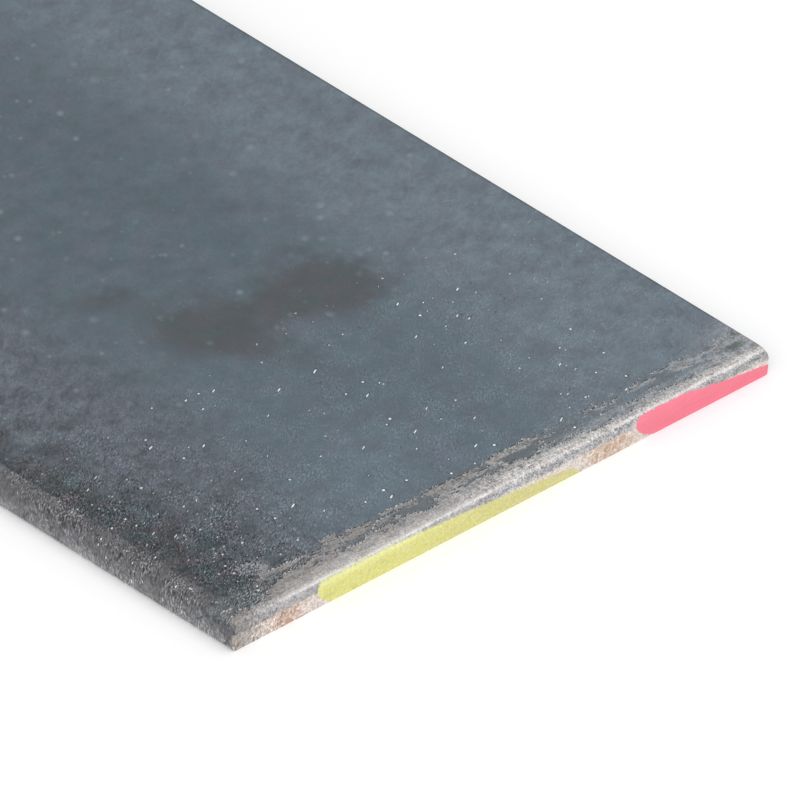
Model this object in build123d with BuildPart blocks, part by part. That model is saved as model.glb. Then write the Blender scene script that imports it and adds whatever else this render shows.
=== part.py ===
"""Hot-rolled steel flat bar, one length as cropped from mill stock on a bar shear.

The bar lies flat. X runs along its length, Y across its width and Z through its thickness, and the
origin is at the middle of its bottom face. It is one rolled piece of steel.

The rolls leave two flat faces and two flat edges, with a rounded corner between each pair. The
corners differ: the one along the top of the front edge is the fullest, and the one along the top
of the back edge is almost sharp.

Each end is sheared. Seen from the side, and going from the face that the blade presses on to the
other face, an end has a shallow draw, a round rollover, a short burnished band that the blade wiped
flat, and a torn band that leans back into the bar by the gap between the blades. The right end
stayed on the fixed blade, so its rollover is on top. The left end was pushed down by the moving
blade, so it is the same shape upside down.
"""

import os
from math import asin, cos, degrees, radians

from build123d import *

# Size of the stock
bar_length = 1000.0
bar_width = 120.0
bar_thickness = 5.0

# Radius of each long corner
front_top_radius = 1.8
back_top_radius = 0.5
bottom_radius = 0.8

# Shape of a sheared end
draw_length = 3.5
draw_depth = 0.07
rollover_radius = 2.0
burnish_height = 0.6
blade_gap = 0.25

# The draw is one long arc, level where it leaves the flat face
draw_radius = (draw_length**2 + draw_depth**2) / (2 * draw_depth)
draw_angle = degrees(asin(draw_length / draw_radius))

# Height of the torn band, which is what the rest of the end leaves of the thickness
rollover_height = rollover_radius * cos(radians(draw_angle))
torn_height = bar_thickness - draw_depth - rollover_height - burnish_height


# Right half of the bar seen from the side, centred on the middle of the bar
with BuildSketch() as right_half:
    with BuildLine():
        torn_foot = (bar_length / 2 - blade_gap, -bar_thickness / 2)
        torn = Line(torn_foot, (bar_length / 2, torn_height - bar_thickness / 2))
        burnish = Line(torn @ 1, torn @ 1 + Vector(0, burnish_height))
        rollover = JernArc(burnish @ 1, (0, 1), rollover_radius, 90 - draw_angle)
        draw = JernArc(rollover @ 1, rollover % 1, draw_radius, draw_angle)
        Polyline(draw @ 1, (0, bar_thickness / 2), (0, -bar_thickness / 2), torn @ 0)
    make_face()


with BuildPart() as flat_bar:
    # Rolled section, run out to the full length
    with BuildSketch(Plane.YZ) as section:
        with Locations((0, bar_thickness / 2)):
            Rectangle(bar_width, bar_thickness)
        fillet(section.vertices().group_by(Axis.Y)[0], bottom_radius)
        fillet(section.vertices().group_by(Axis.Y)[-1].sort_by(Axis.X)[-1], back_top_radius)
        fillet(section.vertices().group_by(Axis.Y)[-1].sort_by(Axis.X)[0], front_top_radius)
    extrude(amount=bar_length / 2, both=True)

    # Both sheared ends at once: the side view and its half turn, kept where they meet the bar
    with BuildSketch(Plane.XZ):
        with Locations((0, bar_thickness / 2)):
            with PolarLocations(0, 2):
                add(right_half.sketch)
    extrude(amount=bar_width, both=True, mode=Mode.INTERSECT)

flat_bar.part.label = "flat_bar"

os.makedirs("parts", exist_ok=True)
export_step(flat_bar.part, "parts/flat_bar.step")
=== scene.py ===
# Steel flat bar, hot-rolled, sheared to length and marked with two strokes of paint on its end.
# Sizes are in metres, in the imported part's own frame: X runs along the bar, Y across it and Z through
# its thickness, the bar lies on Z = 0, and the painted end is the one at +X. Patterns on the surface
# are in millimetres, measured from the painted end, from the front edge and up from the bottom face.
from math import cos, radians, sin

import bpy
import numpy as np
from mathutils import Matrix, Vector


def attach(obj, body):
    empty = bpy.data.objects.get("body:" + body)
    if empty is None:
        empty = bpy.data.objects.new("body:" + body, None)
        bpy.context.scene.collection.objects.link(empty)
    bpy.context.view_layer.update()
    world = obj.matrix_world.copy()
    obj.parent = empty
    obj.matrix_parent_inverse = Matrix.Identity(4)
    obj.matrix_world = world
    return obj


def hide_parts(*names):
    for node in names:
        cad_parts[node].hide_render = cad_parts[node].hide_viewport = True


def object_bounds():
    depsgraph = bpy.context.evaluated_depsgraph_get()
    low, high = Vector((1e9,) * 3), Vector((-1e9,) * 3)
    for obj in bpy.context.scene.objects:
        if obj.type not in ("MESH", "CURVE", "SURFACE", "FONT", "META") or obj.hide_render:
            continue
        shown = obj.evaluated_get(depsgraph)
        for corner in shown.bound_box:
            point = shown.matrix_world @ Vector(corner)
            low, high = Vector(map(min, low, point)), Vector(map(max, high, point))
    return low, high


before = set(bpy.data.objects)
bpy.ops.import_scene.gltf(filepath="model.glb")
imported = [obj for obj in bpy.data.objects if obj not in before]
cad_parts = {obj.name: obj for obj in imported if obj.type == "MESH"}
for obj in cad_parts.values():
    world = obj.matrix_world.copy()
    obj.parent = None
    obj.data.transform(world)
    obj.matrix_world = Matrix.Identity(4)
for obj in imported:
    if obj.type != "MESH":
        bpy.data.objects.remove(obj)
cad_low, cad_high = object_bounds()


# The picture. A long lens far away looks down on the painted end, as the photograph does, so the
# bar's long edges stay parallel and its far end runs out of the frame at the upper left.
view_turn = radians(47.48)
view_tilt = radians(34.28)
lens_mm = 1690
sensor_mm = 36
picture_px = 800
px_per_m = 6101
near_corner_px = Vector((234.04, 652.97))

back = Vector((sin(view_turn) * cos(view_tilt), -cos(view_turn) * cos(view_tilt), sin(view_tilt)))
right = Vector((cos(view_turn), sin(view_turn), 0))
up = back.cross(right)
near_corner = Vector((cad_high.x, cad_low.y, cad_low.z))
aim = near_corner + right * ((picture_px / 2 - near_corner_px.x) / px_per_m)
aim += up * ((near_corner_px.y - picture_px / 2) / px_per_m)
distance = lens_mm / sensor_mm * picture_px / px_per_m

lens = bpy.data.cameras.new("camera")
lens.sensor_width = sensor_mm
lens.lens = lens_mm
lens.clip_start = 0.1
lens.clip_end = 100
camera = bpy.data.objects.new("camera", lens)
facing_bar = Matrix((right, up, back)).transposed().to_4x4()
camera.matrix_world = Matrix.Translation(aim + back * distance) @ facing_bar
bpy.context.scene.collection.objects.link(camera)
bpy.context.scene.camera = camera
bpy.context.scene.view_settings.view_transform = "Standard"

# Soft studio light: an even white world, and two large lamps that shape it. Each lamp's place is
# measured from the middle of the painted end, which it points at.
world_light = 0.62
lamps = {
    "overhead": {"place": (0.5, 0.35, 1.6), "size": 1.4, "watts": 9},
    "front": {"place": (1.1, -1.3, 1.1), "size": 1.2, "watts": 10.5},
}

world = bpy.data.worlds.new("studio")
world.use_nodes = True
world.node_tree.nodes["Background"].inputs["Color"].default_value = (1, 1, 1, 1)
world.node_tree.nodes["Background"].inputs["Strength"].default_value = world_light
bpy.context.scene.world = world
end_middle = Vector((cad_high.x, 0, 0))
for name, lamp in lamps.items():
    light = bpy.data.lights.new(name, "AREA")
    light.energy = lamp["watts"]
    light.size = lamp["size"]
    holder = bpy.data.objects.new(name, light)
    holder.location = end_middle + Vector(lamp["place"])
    holder.rotation_euler = (holder.location - end_middle).to_track_quat("Z", "Y").to_euler()
    bpy.context.scene.collection.objects.link(holder)

# Plain white paper under the bar. Its slight glow shows only to the camera and in reflections, so it
# whitens the paper around the soft shadow and doesn't light the bar.
floor_half = 60
paper_white = 0.95
paper_glow = 0.1
floor_mesh = bpy.data.meshes.new("floor")
corners = [(-1, -1), (1, -1), (1, 1), (-1, 1)]
floor_mesh.from_pydata([(x * floor_half, y * floor_half, 0) for x, y in corners], [], [(0, 1, 2, 3)])
floor = bpy.data.objects.new("floor", floor_mesh)
bpy.context.scene.collection.objects.link(floor)
paper = bpy.data.materials.new("white paper")
paper.use_nodes = True
sheet = paper.node_tree.nodes["Principled BSDF"]
sheet.inputs["Base Color"].default_value = (paper_white, paper_white, paper_white, 1)
sheet.inputs["Roughness"].default_value = 0.9
sheet.inputs["Emission Strength"].default_value = paper_glow
rays = paper.node_tree.nodes.new("ShaderNodeLightPath").outputs
seen = rays["Is Camera Ray"]
for ray in ("Is Glossy Ray", "Is Transmission Ray"):
    either = paper.node_tree.nodes.new("ShaderNodeMath")
    either.operation = "MAXIMUM"
    paper.node_tree.links.new(seen, either.inputs[0])
    paper.node_tree.links.new(rays[ray], either.inputs[1])
    seen = either.outputs[0]
paper.node_tree.links.new(seen, sheet.inputs["Emission Color"])
floor_mesh.materials.append(paper)


# The bar's own form. One piece of steel, rolled to a flat section with four rounded corners and
# sheared at both ends. The blade pulled the top face down at +X and the bottom face up at -X.
class Value:
    """A value in a node tree. Arithmetic on values adds the nodes that work it out."""

    def __init__(self, tree, socket):
        self.tree = tree
        self.socket = socket

    def calc(self, operation, *others):
        return add(self.tree, "ShaderNodeMath", self, *others, operation=operation)

    def __add__(self, other):
        return self.calc("ADD", other)

    def __sub__(self, other):
        return self.calc("SUBTRACT", other)

    def __rsub__(self, other):
        return add(self.tree, "ShaderNodeMath", other, self, operation="SUBTRACT")

    def __mul__(self, other):
        return self.calc("MULTIPLY", other)

    def __truediv__(self, other):
        return self.calc("DIVIDE", other)

    __radd__ = __add__

    def at_least(self, other):
        return self.calc("MAXIMUM", other)

    def at_most(self, other):
        return self.calc("MINIMUM", other)

    def ramp(self, low, high, start=0.0, end=1.0, shape="SMOOTHSTEP"):
        """Go from start at low to end at high, and stay there on either side."""
        limits = (low, high, start, end)
        return add(self.tree, "ShaderNodeMapRange", self, *limits, interpolation_type=shape)

    def hump(self, middle, reach):
        """Rise to 1 at the middle and fall to 0 at a reach on either side of it."""
        return ((self - middle) / reach).calc("ABSOLUTE").ramp(0.0, 1.0, 1.0, 0.0)


def add(tree, kind, *inputs, out=0, named=None, **settings):
    """Add a node and return one of its outputs. Inputs go to its sockets in order or by name."""
    node = tree.nodes.new(kind)
    for setting, value in settings.items():
        setattr(node, setting, value)
    filled = list(zip(node.inputs, inputs))
    filled += [(node.inputs[title], value) for title, value in (named or {}).items()]
    for socket, value in filled:
        if isinstance(value, Value):
            tree.links.new(value.socket, socket)
        elif value is not None:
            socket.default_value = (*value, 1.0) if socket.type == "RGBA" else value
    return Value(tree, node.outputs[out])


def outputs(value):
    """All outputs of the node that a value comes from."""
    return [Value(value.tree, socket) for socket in value.socket.node.outputs]


def join(x, y, z):
    """Make a vector of three values, of which some may be plain numbers."""
    tree = next(part.tree for part in (x, y, z) if isinstance(part, Value))
    return add(tree, "ShaderNodeCombineXYZ", x, y, z)


def new_group(name, kind, takes, gives):
    """Make a node group with named inputs and outputs. Return it with its input values."""
    forms = {float: "Float", tuple: "Vector", list: "Color", str: "Geometry"}
    group = bpy.data.node_groups.new(name, kind)
    for way, sockets in (("INPUT", takes), ("OUTPUT", gives)):
        for title, default in sockets.items():
            form = "NodeSocket" + forms[type(default)]
            socket = group.interface.new_socket(title, in_out=way, socket_type=form)
            if not isinstance(default, str):
                socket.default_value = default
    start = group.nodes.new("NodeGroupInput")
    group.nodes.new("NodeGroupOutput")
    return group, [Value(group, start.outputs[title]) for title in takes]


def finish_group(group, *values):
    """Lead these values to a node group's outputs, in order."""
    for socket, value in zip(group.nodes["Group Output"].inputs, values):
        group.links.new(value.socket, socket)


def use_group(tree, group, *inputs, named=None):
    """Place a node group in a tree and return its outputs in order."""
    kind = tree.bl_idname.replace("Tree", "Group")
    return outputs(add(tree, kind, *inputs, named=named, node_tree=group))


# Sizes that the rolls and the blade leave, in metres
front_top_radius = 0.0018
back_top_radius = 0.0005
bottom_radius = 0.0008
corner_wear = 0.00035
rollover_radius = 0.002
draw_length = 0.0035
draw_depth = 0.00007
torn_height = 0.0023
blade_gap = 0.00025

# The bar's one material, which gets its nodes in the last section
steel = bpy.data.materials.new("mill_scale_steel")


def build_round_corner():
    """Bend the square corner between two faces to a radius. Distances run inwards from each face."""
    takes = {"From First Face": 0.0, "From Second Face": 0.0, "Radius": 0.001}
    gives = {"From First Face": 0.0, "From Second Face": 0.0}
    group, (first, second, radius) = new_group("round corner", "GeometryNodeTree", takes, gives)
    out_first = (radius - first).at_least(0.0)
    out_second = (radius - second).at_least(0.0)
    reach = (out_first * out_first + out_second * out_second).calc("SQRT")
    pull = 1.0 - out_first.at_least(out_second) / reach
    finish_group(group, first + out_first * pull, second + out_second * pull)
    return group


def build_sheared_end(round_corner):
    """Shape one end, from the distances to the cut and to the face that the blade pressed on."""
    takes = {"From Cut": 0.0, "From Pressed Face": 0.0, "Thickness": 0.005}
    takes |= {"Rollover Radius": 0.002, "Draw Length": 0.003, "Draw Depth": 0.0001}
    takes |= {"Torn Height": 0.002, "Blade Gap": 0.0002}
    gives = {"From Cut": 0.0, "From Pressed Face": 0.0}
    group, values = new_group("sheared end", "GeometryNodeTree", takes, gives)
    from_cut, depth, thickness, rollover, draw_reach, draw, torn, gap = values
    from_cut, depth = use_group(group, round_corner, from_cut, depth, rollover)
    height = thickness - depth
    drawn = from_cut.ramp(rollover, rollover + draw_reach, 1.0, 0.0, "LINEAR")
    height = height * (1.0 - drawn * drawn * draw / thickness)
    leaning = height.ramp(0.0, torn, 1.0, 0.0, "LINEAR") * from_cut.ramp(0.0, rollover, 1.0, 0.0)
    finish_group(group, from_cut + leaning * gap, thickness - height)
    return group


# What the shear does to the surface. The cut face is torn over its lower part, and near the cut
# the scale has flaked off in long thin patches, because it is too brittle to bend with the steel.
def spread(place, size, shift=0.0):
    """Stretch a place in millimetres, so that a pattern one unit wide gets this size."""
    scale = [1 / part for part in size]
    terms = (place, scale, (shift, shift, shift))
    return add(place.tree, "ShaderNodeVectorMath", *terms, operation="MULTIPLY_ADD")


def noise(place, size, detail=2.0, rough=0.5, warp=0.0, shift=0.0):
    """Smooth noise around 0, about 1 at its strongest, with features of this size in millimetres."""
    named = {"Scale": 1.0, "Detail": detail, "Roughness": rough, "Distortion": warp}
    wave = add(place.tree, "ShaderNodeTexNoise", spread(place, size, shift), named=named)
    return (wave - 0.5) * 3.0


def build_shear_marks(kind):
    """Find the bare patches and the torn face, in a material's tree or in the bar's own."""
    gives = {"Place": (0.0, 0.0, 0.0), "From Cut": 0.0, "Rise": 0.0, "Bare": 0.0, "Torn": 0.0}
    group, (position,) = new_group("shear marks", kind, {"Position": (0.0, 0.0, 0.0)}, gives)
    x, y, z = outputs(add(group, "ShaderNodeSeparateXYZ", position))
    mm_per_m = 1000
    from_end = (cad_high.x - x) * mm_per_m
    from_hidden = (x - cad_low.x) * mm_per_m
    across = (y - cad_low.y) * mm_per_m
    height = z * mm_per_m
    place = join(from_end, across, height)

    # Both ends share the marks. The rise runs from a cut's torn foot to its rollover: upwards at the
    # painted end, and downwards at the hidden one, which is upside down
    from_cut = from_end.at_most(from_hidden)
    at_hidden = from_hidden.ramp(20.0, 21.0, 1.0, 0.0, "LINEAR")
    rise = height + at_hidden * (bar_thickness * mm_per_m - height * 2.0)

    # Scale has gone next to the cut, and further out only in patches with islands left in them
    streaks = noise(place, (1.1, 4.2, 3.0), 4.0, 0.62, 0.5)
    lobes = noise(place, (2.6, 9.0, 4.0), 2.0, 0.5, shift=13.0)
    closer = across.ramp(3.0, 18.0, 1.9, 0.0) + across.ramp(66.0, 80.0, 0.0, 2.0)
    closer = closer - across.ramp(90.0, 98.0, 0.0, 0.9) - across.ramp(107.0, 119.0, 0.0, 5.3)
    closer = closer - across.hump(35.0, 20.0) * 0.5
    left = (from_cut + closer).ramp(2.0, 5.2, -1.3, 0.15)
    left = left + (from_cut + across.hump(60.0, 14.0) * 0.7).ramp(7.6, 9.6, 0.0, 1.4)
    left = left + across.ramp(5.0, 14.0, 0.8, 0.0) * from_cut.ramp(3.4, 6.0)
    left = left + across.hump(82.0, 14.0) * from_cut.ramp(2.8, 4.0, 0.0, 0.5)
    left = left - across.hump(90.0, 9.0) * from_cut.hump(6.2, 1.4) * 0.25
    patched = across.ramp(10.0, 16.0) - across.ramp(72.0, 84.0, 0.0, 0.2)
    left = left - from_cut.hump(6.8, 1.7) * patched * 0.45
    left = left.at_most(1.6 - across.hump(14.0, 8.0) * from_cut.hump(9.5, 3.5) * 1.6)
    bare = (streaks * 1.3 + lobes * 0.8 - left).ramp(-0.05, 0.1)
    bare = bare * across.ramp(0.2, 1.6) * across.ramp(119.5, 119.9, 1.0, 0.0)

    ragged = rise + noise(place, (1.0, 1.2, 1.0), 3.0, 0.6, shift=3.0) * 0.35
    torn = ragged.ramp(2.9, 3.5, 1.0, 0.0) * from_cut.ramp(0.5, 0.7, 1.0, 0.0)
    finish_group(group, place, from_cut, rise, bare, torn)
    return group


# The bar's surface, grown from a grid of points on a box. Rows lie close together over the ends,
# most of all the painted one, because there the scale is lost and the torn face is grainy. The
# rolled faces have only faint dimples.
def build_bar_tree(marks):
    """Make the tree that bends a box to the bar's shape and sinks the relief into it."""
    takes = {"Geometry": "", "Length": 1.0, "Width": 0.1, "Thickness": 0.005}
    takes |= {"Front Top Radius": 0.001, "Back Top Radius": 0.001, "Bottom Radius": 0.001}
    takes |= {"Corner Wear": 0.0003, "Rollover Radius": 0.002, "Draw Length": 0.003}
    takes |= {"Draw Depth": 0.0001, "Torn Height": 0.002, "Blade Gap": 0.0002}
    takes |= {"Scale Thickness": 0.00005, "Torn Grain": 0.0001, "Dimples": 0.00001}
    tree, values = new_group("flat bar", "GeometryNodeTree", takes, {"Geometry": ""})
    length, width, thickness, front_top, back_top, bottom, wear = values[1:8]
    shear = values[8:13]
    scale_thickness, torn_grain, dimples = values[13:]
    round_corner = build_round_corner()
    sheared_end = build_sheared_end(round_corner)

    rows_along, rows_across, rows_up = 137, 301, 19
    box = add(tree, "GeometryNodeMeshCube", (1, 1, 1), rows_along, rows_across, rows_up)
    position = add(tree, "GeometryNodeInputPosition")
    along, across, up = outputs(add(tree, "ShaderNodeSeparateXYZ", position))

    # Spread the box's rows along the bar and across it, close together in strips at both ends and
    # along both long edges. A reach is a strip's width in metres, and its row or rows say where on the
    # box, which is one unit long and wide, it stops. Between the ends the rows open up gradually, and
    # the start of that run says how quickly
    end_reach, hidden_reach, edge_reach = 0.011, 0.006, 0.0024
    end_row, hidden_row, edge_rows = 0.17, -0.42, 0.04
    run_start = 0.02
    run = length - (end_reach + hidden_reach)
    in_run = along.ramp(end_row, hidden_row, 0.0, 1.0, "LINEAR")
    from_end = along.ramp(0.5, end_row, 0.0, end_reach, "LINEAR")
    from_end = from_end + (in_run * run_start + in_run * in_run * in_run * (1 - run_start)) * run
    from_end = from_end + along.ramp(hidden_row, -0.5, 0.0, hidden_reach, "LINEAR")
    from_front = across.ramp(-0.5, edge_rows - 0.5, 0.0, edge_reach, "LINEAR")
    in_middle = across.ramp(edge_rows - 0.5, 0.5 - edge_rows, 0.0, 1.0, "LINEAR")
    from_front = from_front + in_middle * (width - 2 * edge_reach)
    from_front = from_front + across.ramp(0.5 - edge_rows, 0.5, 0.0, edge_reach, "LINEAR")
    height = (up + 0.5) * thickness

    # Long corners from the rolls
    from_front, depth = use_group(tree, round_corner, from_front, thickness - height, front_top)
    from_back, depth = use_group(tree, round_corner, width - from_front, depth, back_top)
    from_back, height = use_group(tree, round_corner, from_back, thickness - depth, bottom)
    from_front, height = use_group(tree, round_corner, width - from_back, height, bottom)

    # Upright corners, knocked round in handling
    from_end, from_front = use_group(tree, round_corner, from_end, from_front, wear)
    from_end, from_back = use_group(tree, round_corner, from_end, width - from_front, wear)
    from_hidden, from_back = use_group(tree, round_corner, length - from_end, from_back, wear)
    from_hidden, from_front = use_group(tree, round_corner, from_hidden, width - from_back, wear)

    # Sheared ends, the hidden one upside down
    from_end = length - from_hidden
    from_end, depth = use_group(tree, sheared_end, from_end, thickness - height, thickness, *shear)
    height = thickness - depth
    from_hidden, height = use_group(tree, sheared_end, length - from_end, height, thickness, *shear)

    place = join(from_hidden - length * 0.5, from_front - width * 0.5, height)
    shaped = add(tree, "GeometryNodeSetPosition", box, named={"Position": place})
    shaded = add(tree, "GeometryNodeSetShadeSmooth", shaped, None, True, domain="FACE")
    sharp_angle = radians(42)
    sharp = add(tree, "GeometryNodeInputMeshEdgeAngle").calc("GREATER_THAN", sharp_angle)
    shaded = add(tree, "GeometryNodeSetShadeSmooth", shaded, sharp, False, domain="EDGE")

    # Relief, all of it inwards from the bar's true size, and fading out at the foot of the cut
    place, _, rise, bare, torn = use_group(tree, marks, add(tree, "GeometryNodeInputPosition"))
    grain = noise(place, (0.55, 0.7, 0.5), 3.0, 0.65, shift=11.0) * 0.5 + 0.5
    hollows = noise(place, (2.5, 3.5, 2.5), 3.0, 0.6, shift=19.0) * 0.5 + 0.5
    lost = (bare * scale_thickness + grain * torn * torn_grain) * rise.ramp(0.0, 0.6, 0.1, 1.0)
    lost = lost + hollows * dimples
    normal = add(tree, "GeometryNodeInputNormal")
    inwards = add(tree, "ShaderNodeVectorMath", normal, named={"Scale": lost * -1.0}, operation="SCALE")
    sunk = add(tree, "GeometryNodeSetPosition", shaded, named={"Offset": inwards})
    whole = add(tree, "GeometryNodeRealizeInstances", sunk)
    finish_group(tree, add(tree, "GeometryNodeSetMaterial", whole, named={"Material": steel}))
    return tree


def grow_mesh(name, tree, sizes):
    """Run a geometry tree with these named sizes and return its result as a plain mesh."""
    seed = bpy.data.objects.new(name + " seed", bpy.data.meshes.new(name + " seed"))
    bpy.context.scene.collection.objects.link(seed)
    modifier = seed.modifiers.new(tree.name, "NODES")
    modifier.node_group = tree
    for socket in tree.interface.items_tree:
        if socket.in_out == "INPUT" and socket.name in sizes:
            modifier[socket.identifier] = sizes[socket.name]
    grown = seed.evaluated_get(bpy.context.evaluated_depsgraph_get())
    mesh = bpy.data.meshes.new_from_object(grown)
    mesh.name = name
    bpy.data.objects.remove(seed)
    return mesh


def lay_out_sides(mesh):
    """Map the six sides to strips of the unit square, with most of the room for the painted end."""
    corner = np.array([loop.vertex_index for loop in mesh.loops])
    place = np.array([vertex.co for vertex in mesh.vertices])[corner]
    normal = np.repeat([face.normal for face in mesh.polygons], 4, axis=0)
    facing = np.abs(normal).argmax(axis=1)
    outwards = np.take_along_axis(normal, facing[:, None], axis=1)[:, 0] > 0
    inside = (place - np.array(cad_low)) / np.array(cad_high - cad_low)
    crowding = 34
    along = np.log1p((1 - inside[:, 0]) * crowding) / np.log1p(crowding)
    across, upwards = inside[:, 1], inside[:, 2]
    strips = [(2, True, along, across, 0.44), (2, False, along, across, 0.20)]
    strips += [(1, False, along, upwards, 0.06), (1, True, along, upwards, 0.04)]
    strips += [(0, True, across, upwards, 0.08), (0, False, across, upwards, 0.04)]
    gap = (1 - sum(strip[-1] for strip in strips)) / (len(strips) + 1)
    layout = np.zeros((len(corner), 2))
    start = gap
    for axis, side, over, up, share in strips:
        here = (facing == axis) & (outwards == side)
        layout[here, 0] = gap + over[here] * (1 - 2 * gap)
        layout[here, 1] = start + up[here] * share
        start += share + gap
    mesh.uv_layers.new(name="OFBake").data.foreach_set("uv", layout.ravel())


bar_length, bar_width, bar_thickness = cad_high - cad_low
bar_tree = build_bar_tree(build_shear_marks("GeometryNodeTree"))
bar_sizes = {"Length": bar_length, "Width": bar_width, "Thickness": bar_thickness}
bar_sizes |= {"Front Top Radius": front_top_radius, "Back Top Radius": back_top_radius}
bar_sizes |= {"Bottom Radius": bottom_radius, "Corner Wear": corner_wear}
bar_sizes |= {"Rollover Radius": rollover_radius, "Draw Length": draw_length, "Draw Depth": draw_depth}
bar_sizes |= {"Torn Height": torn_height, "Blade Gap": blade_gap}
bar_sizes |= {"Scale Thickness": 0.00006, "Torn Grain": 0.00012, "Dimples": 0.00001}
bar_mesh = grow_mesh("flat_steel_bar", bar_tree, bar_sizes)
lay_out_sides(bar_mesh)
bar = bpy.data.objects.new("flat_steel_bar", bar_mesh)
bpy.context.scene.collection.objects.link(bar)
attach(bar, "root")
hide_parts("flat_bar")


# The finish. Blue-grey mill scale, darker and rougher towards the front edge, with a brown stain,
# white specks, bare grey steel where the scale has flaked off, rust on the torn face, and paint.
def screen(red, green, blue):
    """A colour as it shows on screen, from 0 to 255, in Blender's own linear values."""
    parts = [part / 255 for part in (red, green, blue)]
    return [part / 12.92 if part <= 0.04045 else ((part + 0.055) / 1.055) ** 2.4 for part in parts]


def blend(share, first, second):
    """Mix two colours. The Mix node's colours are its inputs 6 and 7 and its output 2."""
    named = {0: share, 6: first, 7: second}
    return add(share.tree, "ShaderNodeMix", named=named, out=2, data_type="RGBA")


def shade(colour, factor):
    """Make a colour lighter or darker."""
    tree = (colour if isinstance(colour, Value) else factor).tree
    return add(tree, "ShaderNodeVectorMath", colour, named={"Scale": factor}, operation="SCALE")


def turned(place, middle, size, degrees_turn):
    """See a place from a middle, turned about Z, with this size in millimetres as one unit."""
    named = {"Location": middle, "Rotation": (0, 0, radians(degrees_turn)), "Scale": size}
    return add(place.tree, "ShaderNodeMapping", place, named=named, vector_type="TEXTURE")


def spot(place, middle, size, degrees_turn=0.0):
    """Distance from the middle of an oval spot, 1 at its rim."""
    from_middle = turned(place, middle, size, degrees_turn)
    return add(place.tree, "ShaderNodeVectorMath", from_middle, out=1, operation="LENGTH")


def rippled(place, amount, first, second):
    """Push a place about by two noises, so that a shape drawn from it gets an uneven outline."""
    push = join(first, second, 0.0)
    return add(place.tree, "ShaderNodeVectorMath", push, [amount] * 3, place, operation="MULTIPLY_ADD")


def build_flecks():
    """Small marks scattered over the surface, each of its own size and strength."""
    takes = {"Place": (0.0, 0.0, 0.0), "Share": 0.2, "Radius": 0.25, "Unevenness": 0.0}
    group, values = new_group("flecks", "ShaderNodeTree", takes, {"Flecks": 0.0, "Rims": 0.0})
    place, share, radius, uneven = values
    cell = add(group, "ShaderNodeTexVoronoi", place, named={"Scale": 1.0})
    distance, colour = outputs(cell)[:2]
    lot, size, strength = outputs(add(group, "ShaderNodeSeparateXYZ", colour))
    raggedness, smallest, faintest = 0.45, 0.4, 0.6
    picked = lot.calc("LESS_THAN", share)
    jagged = distance + uneven * radius * raggedness
    outwards = jagged / (radius * (size * size * (1 - smallest) + smallest))
    strength = (strength * (1 - faintest) + faintest) * picked
    fleck = outwards.ramp(0.6, 1.1, 1.0, 0.0) * strength
    rim = outwards.ramp(1.0, 2.2, 1.0, 0.0) * strength
    finish_group(group, fleck, rim)
    return group


def build_stroke():
    """One stroke of paint across the end face, from its round start to its tapering tip."""
    takes = {"Place": (0.0, 0.0, 0.0), "Start": 0.0, "Round": 2.0, "Full Until": 10.0, "Drop": 0.1}
    takes |= {"Bend": 1.0, "Stop": 50.0, "Tip": 5.0, "Thinning": 0.1}
    group, values = new_group("paint stroke", "ShaderNodeTree", takes, {"Paint": 0.0})
    place, begin, rounding, full_until, drop, bend, stop, tip, thinning = values

    # Heights in millimetres: of the full stroke, of its foot at the start, and how far it overlaps the
    # bottom edge. At its start the stroke has this share of its height already.
    full_height, start_foot, overlap = 4.45, 3.6, 0.4
    start_share = 0.75
    from_end, across, height = outputs(add(group, "ShaderNodeSeparateXYZ", place))
    fallen = (across - full_until).at_least(0.0).calc("POWER", bend) * drop
    tapering = across.ramp(stop - tip, stop, 0.0, 1.0, "LINEAR")
    top = (full_height - fallen) * (1.0 - tapering * tapering).calc("SQRT")
    starting = across.ramp(begin, begin + rounding, 1.0, 0.0, "LINEAR")
    rounded = (1.0 - starting * starting).calc("SQRT")
    upper = top * start_share + top * (1 - start_share) * rounded - height
    starting = across.ramp(begin, begin + rounding * 3.0, 1.0, 0.0, "LINEAR")
    rounded = (1.0 - starting * starting).calc("SQRT")
    lower = height - start_foot + rounded * (start_foot + overlap)
    wobble = noise(place, (0.7, 0.8, 0.7), 3.0, 0.6, shift=91.0) * 0.2
    paint = (upper + wobble).ramp(thinning * -1.0, thinning) * (lower + wobble).ramp(-0.04, 0.06)
    paint = paint * across.ramp(begin, begin + 0.02) * across.ramp(stop - 0.02, stop, 1.0, 0.0)
    past_foot = from_end - height.ramp(0.0, 0.3) * 0.8
    finish_group(group, paint * past_foot.ramp(0.5, 0.7, 1.0, 0.0))
    return group


steel.use_nodes = True
tree = steel.node_tree
surface = tree.nodes["Principled BSDF"]
surface.inputs["Specular IOR Level"].default_value = 0.3
object_output = 3
position = outputs(add(tree, "ShaderNodeTexCoord"))[object_output]
marks = build_shear_marks("ShaderNodeTree")
place, from_cut, rise, bare, torn = use_group(tree, marks, position)
from_end, across, height = outputs(add(tree, "ShaderNodeSeparateXYZ", place))
flecks = build_flecks()
on_top = height.ramp(3.0, 4.6)
upright = across.ramp(0.35, 0.7, 1.0, 0.0)

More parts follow.
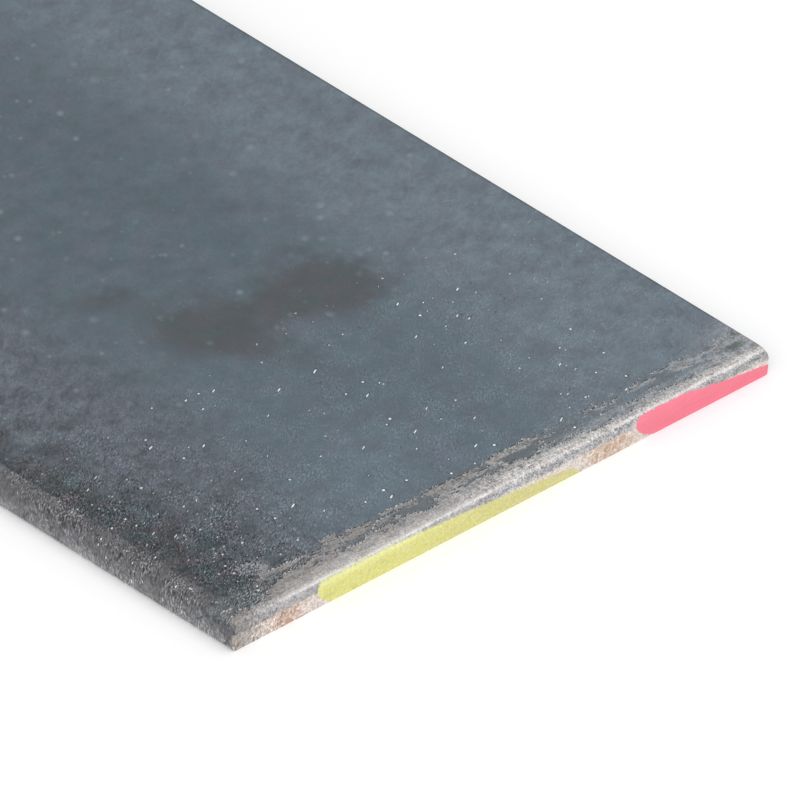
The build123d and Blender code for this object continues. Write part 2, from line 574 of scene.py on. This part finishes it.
# Grain from a quarter of a millimetre up to about six. It comes in patches, and is strongest near
# the painted end and towards the front edge
brushed = turned(place, (0.0, 0.0, 0.0), (1.0, 1.0, 1.0), 55.0)
fine = noise(brushed, (0.7, 0.26, 0.7), 2.0, 0.7, shift=31.0)
middling = noise(brushed, (2.4, 1.4, 1.8), 4.0, 0.7, 0.8, shift=37.0)
broad = noise(place, (5.5, 6.5, 5.5), 4.0, 0.68, shift=41.0)
wander = noise(place, (6.0, 4.5, 6.0), 3.0, 0.65, shift=47.0)
front_reach = from_end.ramp(12.0, 60.0, 22.5, 13.0) + wander * 8.0 + middling * 3.0
front = (across / front_reach).ramp(0.3, 1.3, 1.0, 0.0)
beside = across.ramp(12.0, 46.0, 1.0, 0.0)
behind = across.ramp(84.0, 106.0)
smoother_edge = upright * from_end.ramp(3.0, 32.0, 0.0, 0.62)
rough = (front * 0.68 + beside * 0.42) * (1.0 - smoother_edge) - behind * 0.1 + 0.29
rough = rough * from_end.ramp(28.0, 85.0, 1.0, 0.3)
patchy = (broad + wander * 0.5).ramp(-0.45, 0.55, 0.35, 1.7)
glint = fine.at_least(0.0)
grain = (fine * 1.2 + glint * glint * 2.4 - 0.1) * patchy
shading = middling * (beside * 0.62 + behind * 0.14 + 0.12) + broad * (beside * 0.26 + 0.24)
shading = (grain * rough + shading + 1.0).at_least(0.25)

# Scale, from violet grey near the front edge to a paler blue grey along the back edge
colour = blend(across.ramp(26.0, 46.0), screen(91, 99, 107), screen(92, 107, 116))
paling = (across + wander * 4.0 + from_end.ramp(10.0, 45.0, 9.0, 0.0)).ramp(76.0, 104.0)
colour = blend(paling, colour, screen(107, 120, 129))
clean = spot(place, (16.0, 46.0, 5.0), (18.0, 24.0, 9.0))
colour = blend(clean.ramp(0.4, 1.2, 0.6, 0.0), colour, screen(102, 117, 127))
dull = from_end.ramp(48.0, 85.0) * across.ramp(82.0, 100.0, 1.0, 0.0) * across.ramp(30.0, 45.0)
colour = shade(colour, from_end.ramp(6.0, 120.0, 1.035, 0.985) - dull * 0.12)
hue = noise(place, (4.0, 5.0, 4.0), 4.0, 0.65, shift=2.0)
colour = blend(hue.ramp(-0.3, 0.7, 0.0, 0.65), colour, screen(97, 101, 114))
colour = blend(front, colour, blend(hue.ramp(-0.3, 0.3), screen(69, 79, 83), screen(79, 77, 81)))
# Painted shade darkens the rounded back edge.
colour = shade(colour, 1.0 - across.ramp(119.1, 119.6) * 0.35)

# Rolled edge: paler towards the bottom, and a crisp line where it meets the top face
loose = from_end.ramp(18.0, 60.0, 1.3, 0.06)
rim = across + (middling + wander) * loose
colour = blend(rim.ramp(3.3, 4.1, 1.0, 0.0), colour, screen(102, 102, 105))
colour = shade(colour, 1.0 - rim.hump(4.2, 0.6) * from_end.ramp(40.0, 60.0) * 0.2)
colour = blend(height.ramp(4.4, 3.2) * upright, colour, screen(113, 113, 117))
colour = blend(height.ramp(0.0, 3.4, 1.0, 0.0) * upright, colour, screen(148, 148, 150))
near_end = from_cut.ramp(3.0, 26.0, 1.0, 0.0) * across.ramp(2.0, 5.0, 1.0, 0.0)
colour = shade(colour, shading + near_end * 0.12)

# Stain, a brown shadow on the top face
blotchy = rippled(place, 3.4, wander, broad)
stain = spot(blotchy, (66.5, 56.0, 5.0), (11.5, 14.5, 5.0), 42.0).ramp(0.3, 1.2, 1.0, 0.0)
stain = stain + spot(blotchy, (63.5, 78.5, 5.0), (11.5, 14.0, 5.0), 42.0).ramp(0.3, 1.2, 1.0, 0.0)
stain = stain + spot(blotchy, (66.0, 68.5, 5.0), (6.0, 8.0, 5.0), 42.0).ramp(0.3, 1.2, 0.35, 0.0)
stain = stain + spot(blotchy, (84.5, 49.0, 5.0), (6.0, 12.0, 5.0), 42.0).ramp(0.0, 1.2, 0.65, 0.0)
stain = stain + spot(blotchy, (50.0, 61.0, 5.0), (7.0, 13.0, 5.0), 60.0).ramp(0.0, 1.2, 0.45, 0.0)
stain_colour = blend(hue.ramp(-0.4, 0.4), screen(75, 83, 85), screen(82, 82, 86))
stained = (stain * (middling * 0.3 + 1.0)).ramp(0.0, 1.1, 0.0, 0.9)
colour = blend(stained, colour, shade(stain_colour, shading * 0.6 + 0.4))

# Scale left standing between the patches is greyer. Along the patches' upper edges its lip has painted
# shade, broken by a few painted highlights on pale chips
bare_grain = noise(place, (0.32, 0.32, 0.28), 2.0, 0.8, shift=61.0)
hatch = noise(place, (1.1, 0.5, 0.5), 3.0, 0.7, 1.2, shift=67.0)
clouds = noise(place, (0.9, 2.8, 1.5), 5.0, 0.75, 0.6, shift=69.0)
greyed = from_cut.ramp(7.0, 9.5, 0.75, 0.0) * across.ramp(70.0, 84.0, 1.0, 0.3) * on_top
colour = blend(greyed, colour, shade(screen(104, 109, 112), shading))
thinned = across.ramp(66.0, 78.0) * from_cut.ramp(3.2, 5.6, 1.0, 0.0)
thinned = thinned * (clouds + hatch * 0.5).ramp(-0.5, 0.4)
far_corner = spot(rippled(place, 2.0, middling, wander), (5.0, 119.0, 5.0), (9.0, 11.0, 5.0))
far_corner = far_corner.ramp(0.3, 1.1, 0.75, 0.0)
thinned = thinned.at_least(far_corner * (middling + clouds * 0.4).ramp(-0.5, 0.5, 0.4, 1.0))
colour = blend(thinned * on_top, colour, shade(screen(156, 160, 164), shading + bare_grain * 0.4))
toward_end = add(tree, "ShaderNodeVectorMath", position, (0.00028, 0.0, 0.0))
lip_shadow_and_glint = use_group(tree, marks, toward_end)[3] * (1.0 - bare) * across.ramp(98.0, 110.0, 1.0, 0.3)
chip_glint = (fine + middling * 0.5).ramp(0.05, 0.2)
colour = blend(lip_shadow_and_glint * 0.85, colour, blend(chip_glint, screen(54, 58, 62), screen(206, 206, 206)))

# Bare steel, palest next to the cut
hatched = across.ramp(48.0, 64.0, 0.4, 1.0) - across.ramp(84.0, 96.0, 0.0, 0.5)
clouded = across.hump(66.0, 26.0) * 0.4 + across.ramp(96.0, 108.0, 0.6, 1.1)
corner_grain = grain * across.ramp(2.0, 14.0, 0.9, 0.0)
bare_shade = 1.0 + bare_grain * across.ramp(46.0, 62.0, 0.6, 0.9) + hatch * hatched * 0.8
bare_shade = (bare_shade + clouds * clouded * 0.9 + corner_grain).at_least(0.4)
bare_colour = blend(from_cut.ramp(1.8, 4.8), screen(188, 185, 183), screen(160, 159, 159))
bare_colour = blend(from_cut.ramp(4.6, 7.0), bare_colour, screen(149, 148, 147))
tanned = across.ramp(38.0, 52.0, 0.45, 0.0) * hue.ramp(-0.5, 0.5)
bare_colour = blend(tanned, bare_colour, screen(152, 141, 136))
paler = across.hump(69.0, 20.0) * from_cut.ramp(1.8, 3.6, 0.9, 0.1)
bare_colour = blend(paler, bare_colour, screen(200, 199, 198))
bluish = across.ramp(66.0, 80.0, 0.0, 0.6) * from_cut.ramp(1.9, 3.2)
bare_colour = blend(bluish, bare_colour, screen(142, 150, 157))
bare_colour = blend(across.ramp(3.0, 22.0, 0.7, 0.0), bare_colour, screen(120, 117, 116))
bare_colour = shade(bare_colour, bare_shade)
cracks = (clouds + bare_grain * 0.4).ramp(-0.5, -0.3, 1.0, 0.0) * from_cut.ramp(2.2, 3.6) * on_top
bare_colour = blend(cracks * 0.75, bare_colour, screen(100, 98, 98))
mossy = spot(rippled(place, 0.8, middling, fine), (4.8, 116.3, 5.0), (1.3, 2.6, 2.0))
bare_colour = blend(mossy.ramp(0.3, 1.1, 0.85, 0.0), bare_colour, screen(86, 100, 96))
colour = blend(bare, colour, bare_colour)

# The round of the cut, burnished by the blade, with a painted highlight along its crest and on scuffs
# near it
rounded = rise.ramp(3.2, 3.6) * from_cut.ramp(1.9, 2.3, 1.0, 0.0) * across.ramp(0.6, 2.4)
band = blend(rise.ramp(4.4, 4.75), screen(181, 179, 180), screen(190, 186, 184))
band = blend(across.ramp(2.0, 12.0), screen(150, 147, 145), band)
colour = blend(rounded, colour, shade(band, bare_shade))
crest_highlight = (rise + hatch * 0.1 + bare_grain * 0.08).hump(4.6, 0.2) * across.ramp(6.0, 16.0)
crest_highlight = crest_highlight * from_cut.ramp(2.4, 3.2, 1.0, 0.0)
broken = hatch * 0.7 + wander * 0.6 + 0.7 - across.hump(72.0, 20.0) * 0.4
crest_highlight = crest_highlight * broken.at_least(0.1).at_most(1.0)
scuff_highlight = rounded * (across.hump(31.0, 20.0) + across.ramp(56.0, 68.0)) * rise.ramp(4.0, 4.6)
scuff_highlight = scuff_highlight * (hatch + bare_grain * 0.5 + wander * 0.4).ramp(-0.1, 0.5)
colour = blend(crest_highlight.at_least(scuff_highlight * 0.6) * 0.8, colour, screen(240, 238, 236))

# Torn face, pale and grainy, with rust in its pits
torn_grain = noise(place, (0.45, 0.5, 0.45), 3.0, 0.75, shift=71.0)
torn_colour = blend(across.ramp(1.0, 9.0), screen(172, 164, 158), screen(226, 216, 208))
torn_shade = (1.0 + torn_grain * 0.7 + corner_grain).at_least(0.4)
colour = blend(torn, colour, shade(torn_colour, torn_shade))
rusty = noise(place, (0.65, 0.7, 0.6), 4.0, 0.75, 0.5, shift=81.0)
rusty = rusty + across.hump(12.0, 9.0) * 0.6 + across.hump(84.0, 11.0) * 0.65
rust = blend(across.ramp(30.0, 60.0), screen(182, 132, 102), screen(198, 158, 122))
colour = blend(rusty.ramp(0.25, 0.85, 0.0, 0.85) * torn, colour, shade(rust, torn_shade))

# Pale flecks: soft spots far from the end, bright specks and dashes nearer, and grit at the front
soft_place = turned(place, (0.0, 0.0, 5.0), (3.6, 2.8, 2.0), 40.0)
soft_kind = {"Share": 0.5, "Radius": 0.2, "Unevenness": middling}
soft, soft_rim = use_group(tree, flecks, soft_place, named=soft_kind)
soft = (soft + soft_rim) * from_end.ramp(40.0, 62.0, 0.0, 0.25) * (1.0 - stained * 0.5) * on_top
colour = blend(soft, colour, screen(138, 150, 157))
speck_place = turned(place, (0.0, 0.0, 5.0), (1.9, 1.7, 2.0), 55.0)
dash_place = turned(place, (1.0, 2.0, 5.0), (3.8, 0.9, 2.0), 62.0)
grit_place = turned(place, (0.0, 3.0, 5.0), (1.1, 0.6, 1.6), 62.0)
speck_kind = {"Share": 0.36, "Radius": 0.19, "Unevenness": fine}
dash_kind = {"Share": 0.3, "Radius": 0.21, "Unevenness": fine}
grit_kind = {"Share": 0.28, "Radius": 0.34, "Unevenness": fine}
speck, speck_rim = use_group(tree, flecks, speck_place, named=speck_kind)
dash, dash_rim = use_group(tree, flecks, dash_place, named=dash_kind)
grit, grit_rim = use_group(tree, flecks, grit_place, named=grit_kind)
reach = from_end.ramp(50.0, 68.0, 1.0, 0.0) * across.ramp(96.0, 108.0, 1.0, 0.15) * on_top
crowd = (broad + wander + from_end.hump(10.0, 6.0) * 0.4).ramp(0.05, 0.25, 0.0, 0.45)
scatter = (speck + dash + crowd).ramp(0.74, 0.88) * reach
gritty = across.ramp(12.0, 34.0, 1.0, 0.1) * patchy.at_most(1.0) * from_end.ramp(28.0, 62.0, 1.0, 0.2)
on_scale = (1.0 - bare) * (1.0 - torn)
# Dark rims around the specks, dashes and grit are painted shade.
rims = (speck_rim + dash_rim + crowd).ramp(0.74, 0.88) * reach
rim_shadows = (rims + grit_rim * gritty).at_most(1.0) * on_scale
colour = shade(colour, 1.0 - rim_shadows * 0.3)
white = (scatter * across.ramp(18.0, 34.0, 0.62, 1.0) + grit * gritty).at_most(1.0) * on_scale
colour = blend(white, colour, screen(238, 242, 244))
dusty = spot(rippled(place, 0.9, middling, fine), (11.0, 14.0, 5.0), (2.6, 4.0, 2.0), 20.0)
dusty = dusty.ramp(0.4, 1.0, 1.0, 0.0) * (grain + 0.45).at_least(0.0).at_most(1.0)
colour = blend(dusty, colour, screen(166, 167, 174))

# Paint, in two strokes. The yellow ends in a tip and has taken up some of the dirt under it. The
# pink stops well past the back edge, so it runs off the end face there
stroke = build_stroke()
yellow_stroke = {"Start": 18.7, "Round": 2.1, "Full Until": 28.0, "Drop": 0.0012, "Bend": 2.0}
yellow_stroke |= {"Stop": 77.5, "Tip": 3.6, "Thinning": 0.28}
pink_stroke = {"Start": 90.0, "Round": 2.4, "Full Until": 101.5, "Drop": 0.127, "Bend": 1.0}
pink_stroke |= {"Stop": 140.0, "Tip": 5.0, "Thinning": 0.07}
yellow = use_group(tree, stroke, place, named=yellow_stroke)[0]
pink = use_group(tree, stroke, place, named=pink_stroke)[0]
smear = noise(place, (1.2, 4.0, 0.8), 4.0, 0.65, shift=97.0)
lemon = blend(across.ramp(30.0, 70.0) * 0.6 + smear * 0.9, screen(228, 225, 142), screen(214, 204, 154))
# The yellow is paler over the top of the round, where it is thin and takes a painted highlight along
# the crest.
thin_top_highlight = (rise + smear * 0.3).ramp(3.4, 4.4) * across.ramp(40.0, 60.0, 0.7, 0.2)
lemon = blend(thin_top_highlight, lemon, screen(240, 240, 178))
colour = blend(yellow, colour, shade(lemon, 1.0 + torn_grain * 0.26 + smear * 0.16))
colour = blend(pink, colour, shade(screen(249, 134, 152), 1.0 + torn_grain * 0.06 + smear * 0.06))
painted = yellow.at_least(pink)

# Bare steel is shinier than scale, and paint is duller
shiny = bare.at_least(rounded) * (1.0 - painted) * (1.0 - torn)
roughness = 0.52 - shiny * 0.1 + painted * 0.05 + front * 0.08
metallic = shiny * 0.35
lumps = fine * 0.6 + bare_grain * 0.7 - bare * 1.2
bumps = add(tree, "ShaderNodeBump", named={"Strength": 0.5, "Distance": 0.00003, "Height": lumps})
tree.links.new(colour.socket, surface.inputs["Base Color"])
tree.links.new(roughness.socket, surface.inputs["Roughness"])
tree.links.new(metallic.socket, surface.inputs["Metallic"])
tree.links.new(bumps.socket, surface.inputs["Normal"])
